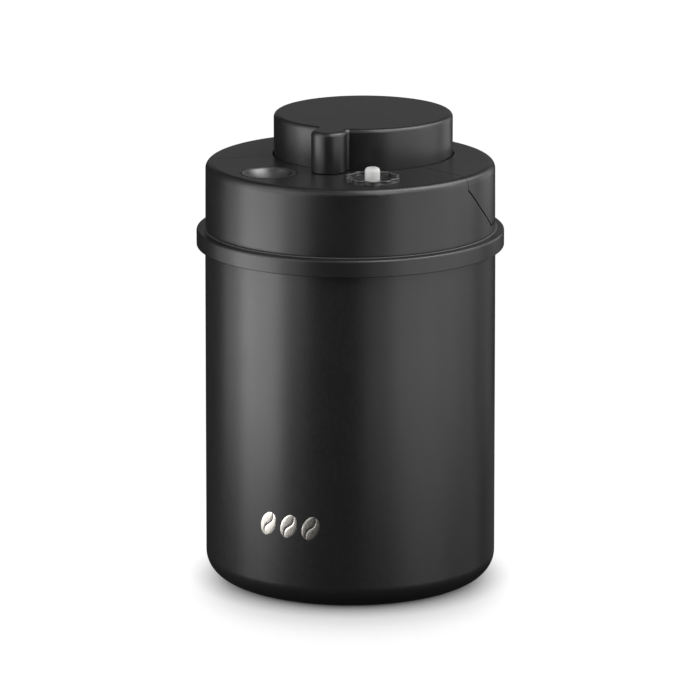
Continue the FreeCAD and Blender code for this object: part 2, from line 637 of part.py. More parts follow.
# ---------------------------------------------------------------- knob and drive
knob = doc.addObject("PartDesign::Body", "twist_knob")
sk = new_sketch(knob, "knob_outline", "XY_Plane")
R, b, q, d = (s.KnobRadius.value, s.BumpRadius.value, s.BumpFillet.value, s.BumpReach.value)
phi = math.acos(((R + q) ** 2 + d ** 2 - (b + q) ** 2) / (2 * (R + q) * d))
front_a = -math.pi / 2
cr = Vector((R + q) * math.sin(phi), -(R + q) * math.cos(phi), 0)
cl = Vector(-cr.x, cr.y, 0)
cb = Vector(0, -d, 0)
zdir = Vector(0, 0, 1)
to_bump_r = math.atan2(cb.y - cr.y, cb.x - cr.x)
to_axis_r = math.atan2(-cr.y, -cr.x)
to_bump_l = math.atan2(cb.y - cl.y, cb.x - cl.x)
to_axis_l = math.atan2(-cl.y, -cl.x)
# main rim, hollow left, bump, hollow right
sk.addGeometry(Part.ArcOfCircle(Part.Circle(Vector(0, 0, 0), zdir, R),
                                front_a + phi, front_a - phi + 2 * math.pi), False)
sk.addGeometry(Part.ArcOfCircle(Part.Circle(cl, zdir, q), to_bump_l, to_axis_l), False)
sk.addGeometry(Part.ArcOfCircle(Part.Circle(cb, zdir, b), to_bump_l + math.pi,
                                to_bump_r + math.pi + (0 if to_bump_r > to_bump_l else 2 * math.pi)), False)
sk.addGeometry(Part.ArcOfCircle(Part.Circle(cr, zdir, q), to_axis_r, to_bump_r), False)
sk.addConstraint(Sketcher.Constraint("Coincident", 0, 3, -1, 1))
sk.addConstraint(Sketcher.Constraint("PointOnObject", 2, 3, -2))
sk.addConstraint(Sketcher.Constraint("Tangent", 0, 2, 1, 2))
sk.addConstraint(Sketcher.Constraint("Tangent", 1, 1, 2, 1))
sk.addConstraint(Sketcher.Constraint("Tangent", 2, 2, 3, 2))
sk.addConstraint(Sketcher.Constraint("Tangent", 3, 1, 0, 1))
for geo, size in ((0, s.KnobRadius), (1, s.BumpFillet), (2, s.BumpRadius), (3, s.BumpFillet)):
    c = sk.addConstraint(Sketcher.Constraint("Radius", geo, size.value))
    sk.setExpression("Constraints[%d]" % c, size.text)
c = sk.addConstraint(Sketcher.Constraint("DistanceY", 2, 3, -1, 1, d))
sk.setExpression("Constraints[%d]" % c, s.BumpReach.text)
sk.AttachmentOffset = Placement(Vector(0, 0, s.KnobLip.value), Rotation(Vector(0, 0, 1), s.BumpTurn.value))
sk.setExpression("AttachmentOffset.Base.z", s.KnobLip.text)
sk.setExpression("AttachmentOffset.Rotation.Angle", s.BumpTurn.text)
pad_k = knob.newObject("PartDesign::Pad", "knob_pad")
pad_k.Profile = sk
bind(pad_k, "Length", s.KnobTop - s.KnobLip)
doc.recompute()
round_off(knob, "knob_top_edge", s.KnobRound,
          lambda e: abs(e.BoundBox.ZMin - s.KnobTop.value) < 1e-4 and abs(e.BoundBox.ZMax - s.KnobTop.value) < 1e-4)


def knob_cylinder(kind, name, radius, z0, z1, y=0, x=0.0):
    o = knob.newObject("PartDesign::" + kind, name)
    bind(o, "Radius", radius)
    bind(o, "Height", dim(z1) - z0)
    o.AttachmentSupport = [(origin_plane(knob, "XY_Plane"), "")]
    o.MapMode = "FlatFace"
    o.AttachmentOffset = Placement(Vector(x, dim(y).value, dim(z0).value), Rotation())
    for axis, size in (("y", y), ("z", z0)):
        if isinstance(size, Dim):
            o.setExpression("AttachmentOffset.Base." + axis, size.text)
    doc.recompute()
    return o


knob_cylinder("AdditiveCylinder", "knob_skirt", s.KnobRadius, s.KnobSkirt, s.KnobLip + 0.5)
knob_cylinder("SubtractiveCylinder", "knob_hollow", s.KnobRadius - s.KnobWall, s.KnobSkirt - 1.0,
              s.KnobTop - s.KnobPlate)
knob_cylinder("SubtractiveCylinder", "bump_hollow", s.BumpRadius - 2.2, s.KnobLip - 1.0,
              s.KnobTop - s.KnobPlate - 0.5, -s.BumpReach - 0.6,
              s.BumpReach.value * math.sin(math.radians(s.BumpTurn.value)))
knob_cylinder("AdditiveCylinder", "knob_hub", s.ShaftRadius + 3.5, 169.0, s.KnobTop - s.KnobPlate + 0.3)
socket = knob.newObject("PartDesign::SubtractivePrism", "knob_socket")
socket.Polygon = 6
bind(socket, "Circumradius", s.ShaftRadius - 0.02)
socket.Height = 16.0
socket.AttachmentSupport = [(origin_plane(knob, "XY_Plane"), "")]
socket.MapMode = "FlatFace"
socket.AttachmentOffset = Placement(Vector(0, 0, 168.5), Rotation())
doc.recompute()
lug = knob.newObject("PartDesign::AdditiveBox", "stop_lug")
lug.Length = 3.0
lug.Width = 3.6
bind(lug, "Height", s.KnobTop - s.KnobPlate + 0.3 - 163.2)
lug.AttachmentSupport = [(origin_plane(knob, "XY_Plane"), "")]
lug.MapMode = "FlatFace"
lug.AttachmentOffset = Placement(Vector(-1.5, 22.2, 163.2), Rotation())
place(knob, 0, s.KnobY, 0)
doc.recompute()
node(knob, "twist_knob")

shaft_round = turned("shaft_round", [
    (0, 131.2), (s.ShaftRadius - 0.5, 131.2), (s.ShaftRadius, 131.8), (s.ShaftRadius, 167.2),
    (s.ShaftRadius - 0.9, 167.2), (s.ShaftRadius - 0.9, 168.2), (s.ShaftRadius, 168.2),
    (s.ShaftRadius, 168.95), (0, 168.95)], 0, s.KnobY)
hexend = doc.addObject("Part::Prism", "shaft_hex")
hexend.Polygon = 6
bind(hexend, "Circumradius", s.ShaftRadius - 0.04)
hexend.Height = 15.3
place(hexend, 0, s.KnobY, 168.8)
pin_hole = cylinder("shaft_pin_hole", 1.27, 20.0, -10.0, s.KnobY, 154.3, rot=lying)
shaft = cut("drive_shaft", fuse("shaft_solid", [shaft_round, hexend]), pin_hole)
node(shaft, "drive_shaft")


def pinion_outline(m, z, thin):
    """Involute outline with one tooth centred on the front (-Y)."""
    alpha = math.radians(20)
    rp = m * z / 2.0
    rb = rp * math.cos(alpha)
    ra = rp + m
    rf = rp - 1.25 * m
    inv = math.tan(alpha) - alpha
    half = math.pi / (2 * z) - thin / (2 * rp)

    def half_at(r):
        if r <= rb:
            return half + inv
        t = math.acos(rb / r)
        return half + inv - (math.tan(t) - t)

    radii = [rf, rb] + [rb + (ra - rb) * k / 5.0 for k in range(1, 6)]
    pts = []
    for k in range(z):
        mid = -math.pi / 2 + 2 * math.pi * k / z
        side = [(r, half_at(r)) for r in radii]
        for r, h in side:
            pts.append(Vector(r * math.cos(mid - h), r * math.sin(mid - h), 0))
        for r, h in reversed(side):
            pts.append(Vector(r * math.cos(mid + h), r * math.sin(mid + h), 0))
    pts.append(pts[0])
    return Part.Wire(Part.makePolygon(pts).Edges)


m = s.GearModule.value
teeth = int(s.GearTeeth.value)
gb = s.GearBottom.value
gear = Part.Face(pinion_outline(m, teeth, s.GearThin.value)).extrude(Vector(0, 0, s.GearFace.value))
gear.translate(Vector(0, 0, gb))
gear = gear.fuse(Part.makeCylinder(7.0, 4.7, Vector(0, 0, gb + s.GearFace.value - 0.1)))
gear = gear.cut(Part.makeCylinder(s.ShaftRadius.value + 0.02, 40.0, Vector(0, 0, 130)))
gear = gear.cut(Part.makeCylinder(1.27, 20.0, Vector(-10, 0, 154.3), Vector(1, 0, 0)))
gear = gear.removeSplitter()
gear_obj = doc.addObject("Part::Feature", "pinion_gear")
gear_obj.Shape = gear
place(gear_obj, 0, s.KnobY, 0)
node(gear_obj, "pinion_gear")

node(cylinder("shaft_pin", 1.25, 13.6, -6.8, s.KnobY, 154.3, rot=lying), "shaft_pin")

clip_ring = turned("clip_ring", [
    (s.ShaftRadius - 0.85, 167.3), (s.ShaftRadius + 2.2, 167.3), (s.ShaftRadius + 2.2, 168.1),
    (s.ShaftRadius - 0.85, 168.1)], 0, s.KnobY)
clip_gap = box("clip_gap", -2.6, 2.6, s.KnobY - 9.0, s.KnobY, 166.0, 169.5)
node(cut("retaining_clip", clip_ring, clip_gap), "retaining_clip")

# ---------------------------------------------------------------- rack and piston
pitch = math.pi * s.GearModule
line = s.KnobY - s.GearModule * s.GearTeeth / 2
tip = line + s.GearModule
root = line - 1.25 * s.GearModule
lean = math.tan(math.radians(20))
rack = extruded("gear_rack", "XY_Plane", [
    (s.PistonRight + 0.02, s.RackBack), (30.0, s.RackBack), (30.0, tip), (-8.8, tip), (-8.8, root),
    (s.PistonRight + 0.02, root)], s.RackHeight, 0, 0, s.RackBottom)
whole = rack.Shape.Volume
wide = pitch / 4 + s.GearThin / 2
x0 = -2.0 * pitch
space = outline(new_sketch(rack, "tooth_space", "XY_Plane"), [
    (x0 - wide + 1.25 * lean * s.GearModule, root), (x0 + wide - 1.25 * lean * s.GearModule, root),
    (x0 + wide + 1.2 * lean * s.GearModule, tip + 0.2 * s.GearModule),
    (x0 - wide - 1.2 * lean * s.GearModule, tip + 0.2 * s.GearModule)])
pocket = rack.newObject("PartDesign::Pocket", "tooth_cut")
pocket.Profile = space
bind(pocket, "Length", s.RackHeight + 1.0)
pocket.Reversed = True
doc.recompute()
if rack.Shape.Volume > whole - 10.0:
    raise ValueError("tooth space cut nothing")
row = rack.newObject("PartDesign::LinearPattern", "tooth_row")
row.Originals = [pocket]
row.Direction = (space, ["H_Axis"])
bind(row, "Length", 10 * pitch)
row.Occurrences = 11
rack.Tip = row
doc.recompute()
if rack.Shape.Volume > whole - 200.0:
    raise ValueError("tooth row is short")
screw_hole = cylinder("rack_screw_hole", 1.3, 12.0, s.PistonRight - 1.0, s.PumpY, s.PumpZ, rot=lying)
rack_done = cut("gear_rack_drilled", rack, screw_hole)
rack.Label = "rack_bar"
node(rack_done, "gear_rack")

pl, pr = s.PistonLeft, s.PistonRight
node(turned("piston", [
    (1.5, pl + 2.2), (3.2, pl + 2.2), (3.2, pl), (s.PumpBore - 0.4, pl), (s.PumpBore - 0.4, pl + 1.0),
    (9.4, pl + 1.0), (9.4, pr - 2.0), (s.PumpBore - 0.4, pr - 2.0), (s.PumpBore - 0.4, pr),
    (1.5, pr)], 0, s.PumpY, s.PumpZ, lying), "piston")
node(turned("piston_cup_seal", [
    (9.45, pl + 1.05), (10.2, pl + 1.05), (10.5, pl + 2.6), (11.2, pl + 2.6), (11.5, pl + 1.05),
    (s.PumpBore - 0.05, pl + 1.05), (s.PumpBore - 0.05, pl + 1.6), (11.6, pr - 2.05),
    (9.45, pr - 2.05)], 0, s.PumpY, s.PumpZ, lying), "piston_cup_seal")
node(turned("piston_screw", [
    (0, pl + 1.2), (1.0, pl + 1.2), (1.0, pl + 0.3), (2.7, pl + 0.3), (2.7, pl + 2.15), (1.25, pl + 2.15),
    (1.25, pr + 9.0), (0, pr + 9.8)], 0, s.PumpY, s.PumpZ, lying), "piston_screw")

# ---------------------------------------------------------------- release button
button = turned("release_button", [
    (0, 162.9), (4.9, 162.9), (4.9, 162.0), (6.4, 162.0), (9.2, 164.6), (9.2, 159.0), (12.4, 159.0), (12.4, 160.8),
    (s.ButtonRadius, 160.8), (s.ButtonRadius, s.LidTop), (0, s.LidTop)], s.ButtonX, s.ValveY)
depth = s.ButtonDish
ball = button.newObject("PartDesign::SubtractiveSphere", "dish")
rim_r = s.ButtonRadius - 0.9
big = (rim_r * rim_r + depth * depth) / (2 * depth)
bind(ball, "Radius", big)
ball.AttachmentSupport = [(origin_plane(button, "XY_Plane"), "")]
ball.MapMode = "FlatFace"
ball.AttachmentOffset = Placement(Vector(0, 0, (s.LidTop - depth + big).value), Rotation())
ball.setExpression("AttachmentOffset.Base.z", (s.LidTop - depth + big).text)
doc.recompute()
round_off(button, "dish_edge", 0.8, ring_edge(rim_r, s.LidTop, 0.2))
round_off(button, "button_edge", 0.35, ring_edge(s.ButtonRadius, s.LidTop))
stem_hole = rod("button_socket", s.StemRadius - 0.48, 161.5, 165.4, s.ButtonX, s.ValveY)
button_done = cut("button_drilled", button, stem_hole)
button.Label = "button_cap"
node(button_done, "release_button")

node(turned("valve_stem", [
    (0, 124.2), (2.6, 124.2), (2.6, 124.85), (1.8, 124.85), (1.8, 127.95), (s.StemRadius, 127.95),
    (s.StemRadius, 162.85), (s.StemRadius - 0.5, 162.85), (s.StemRadius - 0.5, 165.3), (0, 165.3)],
    s.ButtonX, s.ValveY), "valve_stem")
node(turned("valve_poppet", [
    (1.82, 124.9), (3.6, 124.9), (5.2, 126.6), (5.2, 127.9), (4.2, 127.9), (3.9, 127.6), (2.6, 127.6),
    (1.82, 127.6)], s.ButtonX, s.ValveY), "valve_poppet")

# ---------------------------------------------------------------- indicator
pin = turned("indicator_pin", [
    (0, 148.0), (1.5, 148.0), (1.5, 150.05), (s.PinRadius, 150.05), (s.PinRadius, 159.5), (4.6, 159.5),
    (4.6, 163.0), (s.PinRadius, 163.0), (s.PinRadius, s.PinTop), (0, s.PinTop)],
    s.IndicatorX, s.ValveY)
round_off(pin, "pin_tip", 1.9, ring_edge(s.PinRadius, s.PinTop))
node(pin, "indicator_pin")
node(turned("indicator_piston", [
    (0, 142.0), (s.WellTube - 0.1, 142.0), (s.WellTube - 0.1, 145.25), (3.35, 145.25), (3.35, 147.15),
    (s.WellTube - 0.1, 147.15), (s.WellTube - 0.1, 150.0), (1.52, 150.0), (1.52, 147.9), (0, 147.9)],
    s.IndicatorX, s.ValveY), "indicator_piston")
oring = doc.addObject("Part::Torus", "indicator_oring")
bind(oring, "Radius1", s.WellTube - 0.85)
oring.Radius2 = 0.8
place(oring, s.IndicatorX, s.ValveY, 146.2)
node(oring, "indicator_oring")

# ---------------------------------------------------------------- check and write
doc.recompute()
bad = [o.Label for o in doc.Objects if set(o.State) & {"Invalid", "Error"}]
if bad:
    raise RuntimeError("failed features: " + ", ".join(bad))
for label, obj in NODES:
    shape = obj.Shape
    if shape.isNull() or not shape.isValid() or not shape.Solids:
        raise RuntimeError("bad shape: " + label)
labels = [label for label, obj in NODES]
if len(set(labels)) != len(labels) or any(obj.Label != label for label, obj in NODES):
    raise RuntimeError("node labels clash")
os.makedirs("parts", exist_ok=True)
for label, obj in NODES:
    obj.Shape.exportStep(os.path.join("parts", label + ".step"))
    bb = obj.Shape.BoundBox
    print("%-18s solids %d  vol %9.1f  z %.2f..%.2f" % (
        label, len(obj.Shape.Solids), obj.Shape.Volume, bb.ZMin, bb.ZMax))
print(len(NODES), "nodes")
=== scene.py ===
import math

import bpy
import bmesh
from mathutils import Matrix, Vector


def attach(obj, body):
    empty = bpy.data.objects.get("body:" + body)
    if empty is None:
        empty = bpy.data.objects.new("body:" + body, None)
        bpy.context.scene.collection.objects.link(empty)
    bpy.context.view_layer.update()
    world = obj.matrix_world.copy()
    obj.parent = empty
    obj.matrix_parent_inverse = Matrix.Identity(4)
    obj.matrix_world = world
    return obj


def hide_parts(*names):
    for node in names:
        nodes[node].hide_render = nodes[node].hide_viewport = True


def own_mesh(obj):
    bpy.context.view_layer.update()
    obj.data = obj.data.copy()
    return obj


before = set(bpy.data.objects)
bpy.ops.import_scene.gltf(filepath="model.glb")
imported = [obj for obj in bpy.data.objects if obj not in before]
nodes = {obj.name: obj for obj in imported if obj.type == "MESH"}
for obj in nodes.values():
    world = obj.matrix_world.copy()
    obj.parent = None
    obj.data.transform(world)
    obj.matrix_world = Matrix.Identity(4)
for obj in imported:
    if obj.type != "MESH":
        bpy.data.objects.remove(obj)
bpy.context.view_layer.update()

scene = bpy.context.scene
MM = 0.001
VIEW_AZ = math.radians(19.4)


# ------------------------------------------------------------------ mesh helpers
def add_object(name, mesh, body, material, replaces=()):
    obj = bpy.data.objects.new(name, mesh)
    scene.collection.objects.link(obj)
    obj.data.materials.clear()
    obj.data.materials.append(material)
    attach(obj, body)
    if replaces:
        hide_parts(*replaces)
    return obj


def rounded(corners, steps=10):
    """Closed outline of (r, z, radius) corners as edges with exact end normals.
    Each edge is ((p, q), normal at p, normal at q); the outline runs so that the
    solid is on the left, and the normals point to the right, out of it."""
    n = len(corners)
    parts = []
    for i in range(n):
        p0, p1, p2 = (Vector(corners[(i + k) % n][:2]) for k in (-1, 0, 1))
        rad = corners[i][2] if len(corners[i]) > 2 else 0.0
        a, b = (p0 - p1), (p2 - p1)
        la, lb = a.length, b.length
        a.normalize()
        b.normalize()
        if rad <= 0:
            parts.append([p1])
            continue
        half = math.acos(max(-1.0, min(1.0, a.dot(b)))) / 2
        cut = min(rad / math.tan(half), la * 0.499, lb * 0.499)
        rad = cut * math.tan(half)
        centre = p1 + (a + b).normalized() * (rad / math.sin(half))
        s, e = p1 + a * cut, p1 + b * cut
        u, v = (s - centre), (e - centre)
        ang = math.atan2(u.x * v.y - u.y * v.x, u.dot(v))
        count = max(3, int(round(steps * abs(ang) / (math.pi / 2))))
        arc = []
        for k in range(count + 1):
            t = ang * k / count
            c, sn = math.cos(t), math.sin(t)
            w = Vector((u.x * c - u.y * sn, u.x * sn + u.y * c))
            # outward: away from the solid, which lies left of the outline
            arc.append((centre + w, (w if ang > 0 else -w).normalized()))
        parts.append(arc)
    edges = []
    for i in range(n):
        part, nxt = parts[i], parts[(i + 1) % n]
        if isinstance(part[0], tuple):
            for (p, np_), (q, nq) in zip(part, part[1:]):
                edges.append((p, q, np_, nq))
        p = part[-1][0] if isinstance(part[-1], tuple) else part[-1]
        q = nxt[0][0] if isinstance(nxt[0], tuple) else nxt[0]
        d = q - p
        if d.length > 1e-9:
            nrm = Vector((d.y, -d.x)).normalized()
            edges.append((p, q, nrm, nrm))
    return edges


def split_long(edges, longest):
    out = []
    for p, q, a, b in edges:
        k = max(1, int(math.ceil((q - p).length / longest))) if (a - b).length < 1e-6 else 1
        for i in range(k):
            out.append((p.lerp(q, i / k), p.lerp(q, (i + 1) / k), a, b))
    return out


def straight(points):
    """Edges of an open run of points, solid on the left."""
    out = []
    for p, q in zip(points, points[1:]):
        p, q = Vector(p), Vector(q)
        d = q - p
        nrm = Vector((d.y, -d.x)).normalized()
        out.append((p, q, nrm, nrm))
    return out


def arc(centre, radius, start, end, count, hollow=False):
    """Edges along a circle from one angle to another, in degrees; a hollow's normals point to its centre."""
    pts = []
    for k in range(count + 1):
        t = math.radians(start + (end - start) * k / count)
        w = Vector((math.cos(t), math.sin(t)))
        pts.append((Vector(centre) + w * radius, -w if hollow else w))
    return [(p, q, a, b) for (p, a), (q, b) in zip(pts, pts[1:])]


def lathe(name, corners, segments=256, centre=(0, 0), steps=10, longest=20.0, turn=0.0, edges=None):
    """A turned solid in millimetres about the upright axis through centre, with exact normals."""
    edges = split_long(edges or rounded(corners, steps), longest)
    keys, points = {}, []

    def key(p):
        k = (round(p.x, 5), round(p.y, 5))
        if k not in keys:
            keys[k] = len(points)
            points.append(p)
        return keys[k]

    runs = []
    for p, q, a, b in edges:
        i, j = key(p), key(q)
        if i != j and not (p.x < 1e-6 and q.x < 1e-6):
            runs.append((i, j, a, b))
    verts, index = [], []
    for p in points:
        if p.x < 1e-6:
            index.append([len(verts)] * segments)
            verts.append((centre[0] * MM, centre[1] * MM, p.y * MM))
            continue
        row = []
        for s in range(segments):
            t = turn + 2 * math.pi * s / segments
            row.append(len(verts))
            verts.append(((centre[0] + p.x * math.cos(t)) * MM, (centre[1] + p.x * math.sin(t)) * MM, p.y * MM))
        index.append(row)
    faces, normals = [], []
    for i, j, a, b in runs:
        for s in range(segments):
            t = (s + 1) % segments
            corner = [(index[i][s], a, s), (index[i][t], a, t), (index[j][t], b, t), (index[j][s], b, s)]
            keep, seen = [], set()
            for c in corner:
                if c[0] not in seen:
                    seen.add(c[0])
                    keep.append(c)
            if len(keep) < 3:
                continue
            faces.append([c[0] for c in keep])
            for _, nrm, k in keep:
                ang = turn + 2 * math.pi * k / segments
                normals.append((nrm.x * math.cos(ang), nrm.x * math.sin(ang), nrm.y))
    mesh = bpy.data.meshes.new(name)
    mesh.from_pydata(verts, [], faces)
    mesh.shade_smooth()
    mesh.normals_split_custom_set(normals)
    mesh.update()
    return mesh


def swept(name, outline_at, segments, centre, sharp=38.0):
    """A ring whose closed outline [(r, z)] changes with the angle; solid on the left of the outline."""
    rows = []
    for s in range(segments):
        ang = 2 * math.pi * s / segments
        rows.append([((centre[0] + r * math.cos(ang)) * MM, (centre[1] + r * math.sin(ang)) * MM, z * MM)
                     for r, z in outline_at(ang)])
    n = len(rows[0])
    verts = [v for row in rows for v in row]
    faces = []
    for s in range(segments):
        t = (s + 1) % segments
        for i in range(n):
            j = (i + 1) % n
            faces.append((s * n + i, t * n + i, t * n + j, s * n + j))
    mesh = bpy.data.meshes.new(name)
    mesh.from_pydata(verts, [], faces)
    mesh.shade_smooth()
    mesh.set_sharp_from_angle(angle=math.radians(sharp))
    mesh.update()
    return mesh


# ------------------------------------------------------------------ materials
class Nodes:
    def __init__(self, name):
        self.mat = bpy.data.materials.new(name)
        self.mat.use_nodes = True
        self.tree = self.mat.node_tree
        self.bsdf = next(n for n in self.tree.nodes if n.type == "BSDF_PRINCIPLED")
        self.coord = self.tree.nodes.new("ShaderNodeTexCoord")

    def new(self, kind, **values):
        n = self.tree.nodes.new(kind)
        for k, v in values.items():
            if hasattr(n, k):
                setattr(n, k, v)
            else:
                n.inputs[k.replace("_", " ")].default_value = v
        return n

    def link(self, a, b):
        self.tree.links.new(a, b)

    def scaled(self, scale):
        m = self.new("ShaderNodeMapping")
        m.inputs["Scale"].default_value = scale
        self.link(self.coord.outputs["Object"], m.inputs["Vector"])
        return m.outputs["Vector"]

    def noise(self, scale, detail=3.0, rough=0.5, stretch=(1, 1, 1)):
        n = self.new("ShaderNodeTexNoise")
        n.inputs["Scale"].default_value = scale
        n.inputs["Detail"].default_value = detail
        n.inputs["Roughness"].default_value = rough
        self.link(self.scaled(stretch), n.inputs["Vector"])
        return n.outputs["Fac"]

    def remap(self, value, lo, hi, to_lo, to_hi):
        n = self.new("ShaderNodeMapRange")
        for k, v in (("From Min", lo), ("From Max", hi), ("To Min", to_lo), ("To Max", to_hi)):
            n.inputs[k].default_value = v
        self.link(value, n.inputs["Value"])
        return n.outputs["Result"]

    def ramp(self, value, stops):
        n = self.new("ShaderNodeValToRGB")
        cr = n.color_ramp
        while len(cr.elements) < len(stops):
            cr.elements.new(0.5)
        for e, (pos, col) in zip(cr.elements, stops):
            e.position = pos
            e.color = (*col, 1.0)
        self.link(value, n.inputs["Fac"])
        return n.outputs["Color"]

    def math(self, op, a, b):
        n = self.new("ShaderNodeMath", operation=op)
        for k, v in ((0, a), (1, b)):
            if isinstance(v, (int, float)):
                n.inputs[k].default_value = v
            else:
                self.link(v, n.inputs[k])
        return n.outputs[0]

    def bump(self, height, distance, strength=1.0, under=None):
        n = self.new("ShaderNodeBump")
        n.inputs["Strength"].default_value = strength
        n.inputs["Distance"].default_value = distance
        self.link(height, n.inputs["Height"])
        if under is not None:
            self.link(under, n.inputs["Normal"])
        return n.outputs["Normal"]

    def put(self, name, value):
        sock = self.bsdf.inputs[name]
        if isinstance(value, bpy.types.NodeSocket):
            self.link(value, sock)
        else:
            sock.default_value = value


def coated_steel():
    m = Nodes("coated_steel")
    grain = m.noise(1500, 2.0, 0.55)
    mottle = m.noise(620, 1.5, 0.5, (1, 1, 0.8))
    cloud = m.noise(38, 3.0, 0.5)
    mixed = m.math("ADD", m.math("MULTIPLY", grain, 0.3), m.math("MULTIPLY", mottle, 0.7))
    m.put("Base Color", m.ramp(mixed, [(0.30, (0.0115, 0.0115, 0.0117)), (0.70, (0.0147, 0.0147, 0.0150))]))
    rough = m.math("ADD", m.remap(mixed, 0.3, 0.7, 0.29, 0.33), m.remap(cloud, 0.3, 0.7, -0.015, 0.015))
    m.put("Roughness", rough)
    m.put("Metallic", 0.0)
    m.put("IOR", 1.5)
    fine = m.bump(grain, 5e-6)
    m.put("Normal", m.bump(mottle, 1.0e-5, 1.0, fine))
    return m.mat


def satin_plastic(name, dark=0.009, light=0.012, rough=(0.285, 0.345), texture=7e-6, scale=1900):
    m = Nodes(name)
    grain = m.noise(scale, 2.0, 0.5)
    cloud = m.noise(45, 3.0, 0.55)
    m.put("Base Color", m.ramp(cloud, [(0.3, (dark, dark, dark * 1.02)), (0.7, (light, light, light * 1.02))]))
    m.put("Roughness", m.math("ADD", m.remap(grain, 0.3, 0.7, rough[0], rough[1]), m.remap(cloud, 0.3, 0.7, -0.015, 0.02)))
    m.put("IOR", 1.5)
    m.put("Normal", m.bump(grain, texture))
    return m.mat


def soft_rubber(name, col, rough):
    m = Nodes(name)
    grain = m.noise(1200, 3.0, 0.6)
    m.put("Base Color", m.ramp(grain, [(0.3, tuple(c * 0.85 for c in col)), (0.7, tuple(c * 1.12 for c in col))]))
    m.put("Roughness", m.remap(grain, 0.3, 0.7, rough - 0.05, rough + 0.06))
    m.put("IOR", 1.43)
    m.put("Normal", m.bump(grain, 7e-6))
    return m.mat


def rubber_with_painted_rim_highlight(name, col, rim_z):
    m = Nodes(name)
    grain = m.noise(900, 2.0, 0.5)
    split = m.new("ShaderNodeSeparateXYZ")
    m.link(m.coord.outputs["Object"], split.inputs[0])
    # painted highlight: the top 0.3 mm of the rim gets a base colour 4.5 times lighter, standing in for the highlight
    # along the rim; its lower roughness and higher specular there are real
    rim = m.remap(split.outputs[2], rim_z - 0.00034, rim_z - 0.00004, 0.0, 1.0)
    m.put("Base Color", m.ramp(m.math("ADD", m.math("MULTIPLY", rim, 0.9), m.math("MULTIPLY", grain, 0.1)),
                               [(0.03, tuple(c * 0.9 for c in col)), (0.09, tuple(c * 1.1 for c in col)),
                                (1.0, tuple(c * 4.5 for c in col))]))
    m.put("Roughness", m.remap(rim, 0.0, 1.0, 0.50, 0.30))
    m.put("Specular IOR Level", m.remap(rim, 0.0, 1.0, 0.35, 0.8))
    m.put("Normal", m.bump(grain, 2e-6))
    return m.mat


def metal(name, col, rough, streak=(1, 1, 1), scale=900):
    m = Nodes(name)
    grain = m.noise(scale, 4.0, 0.6, streak)
    m.put("Base Color", m.ramp(grain, [(0.3, tuple(c * 0.86 for c in col)), (0.7, col)]))
    m.put("Metallic", 1.0)
    m.put("Roughness", m.remap(grain, 0.3, 0.7, rough - 0.06, rough + 0.07))
    m.put("Normal", m.bump(grain, 5e-6))
    return m.mat


def white_plastic():
    m = Nodes("white_plastic")
    grain = m.noise(700, 3.0, 0.5)
    m.put("Base Color", m.ramp(grain, [(0.3, (0.72, 0.72, 0.71)), (0.7, (0.77, 0.77, 0.76))]))
    m.put("Roughness", m.remap(grain, 0.3, 0.7, 0.36, 0.44))
    m.put("IOR", 1.49)
    m.put("Specular IOR Level", 0.3)
    m.put("Subsurface Weight", 0.9)
    m.put("Subsurface Radius", (1.0, 1.0, 0.95))
    m.put("Subsurface Scale", 0.004)
    m.put("Normal", m.bump(grain, 4e-6))
    return m.mat


MATS = {
    "coated_steel": coated_steel(),
    "lid_plastic": satin_plastic("lid_plastic"),
    "chassis_plastic": satin_plastic("chassis_plastic", 0.022, 0.032, (0.40, 0.48), 8e-6, 1400),
    "silicone": soft_rubber("silicone", (0.050, 0.050, 0.052), 0.38),
    "collar_rubber": rubber_with_painted_rim_highlight("collar_rubber", (0.014, 0.014, 0.0143), 0.17332),
    "acetal": satin_plastic("acetal", 0.62, 0.70, (0.34, 0.42), 5e-6, 1100),
    "bronze": metal("bronze", (0.62, 0.43, 0.22), 0.34),
    "steel": metal("steel", (0.62, 0.62, 0.63), 0.30),
    "white_plastic": white_plastic(),
}
MATS["silver_mark"] = metal("silver_mark", (0.70, 0.67, 0.62), 0.30, (1, 1, 1), 1600)

SLOT_OF = {
    "coated_steel": ["canister_body"],
    "lid_plastic": ["collar_ring", "front_cover", "rear_cover", "twist_knob", "release_button"],
    "chassis_plastic": ["lid_chassis", "bearing_deck", "pump_cylinder", "rack_guide", "filter_ring", "indicator_piston"],
    "silicone": ["base_pad", "lid_gasket", "inlet_valve", "valve_poppet", "piston_cup_seal", "indicator_oring"],
    "collar_rubber": ["indicator_collar"],
    "acetal": ["pinion_gear", "gear_rack", "piston", "valve_stem"],
    "bronze": ["upper_bush", "lower_bush"],
    "steel": ["drive_shaft", "shaft_pin", "retaining_clip", "cover_screws", "deck_screws", "base_screws",
              "piston_screw", "button_spring", "indicator_spring", "filter_screen"],
    "white_plastic": ["indicator_pin"],
}
for slot, names in SLOT_OF.items():
    for name in names:
        nodes[name].data.materials.clear()
        nodes[name].data.materials.append(MATS[slot])

# ------------------------------------------------------------------ cup
cup = lathe("cup_shell", [
    (0, 1.5), (38.5, 1.5, 0.6), (40.0, 0.4, 0.6), (59.0, 0.4, 12.0), (58.5, 143.0, 0.3), (57.7, 143.0, 0.3),
    (58.2, 1.2, 11.2), (40.3, 1.2, 0.6), (38.8, 2.3, 0.6), (0, 2.3)], 320, steps=16, longest=9.0)
add_object("cup_shell", cup, "canister", MATS["coated_steel"], ["canister_body"])

collar = lathe("mouth_collar", [
    (58.6, 137.5, 0.15), (62.0, 137.5, 0.3), (62.0, 144.3, 1.0), (57.0, 144.3, 0.5), (57.0, 128.0, 0.2),
    (57.6, 128.0, 0.2), (57.6, 143.1), (58.6, 143.1)], 320, steps=12, longest=9.0)
add_object("mouth_collar", collar, "canister", MATS["lid_plastic"], ["collar_ring"])

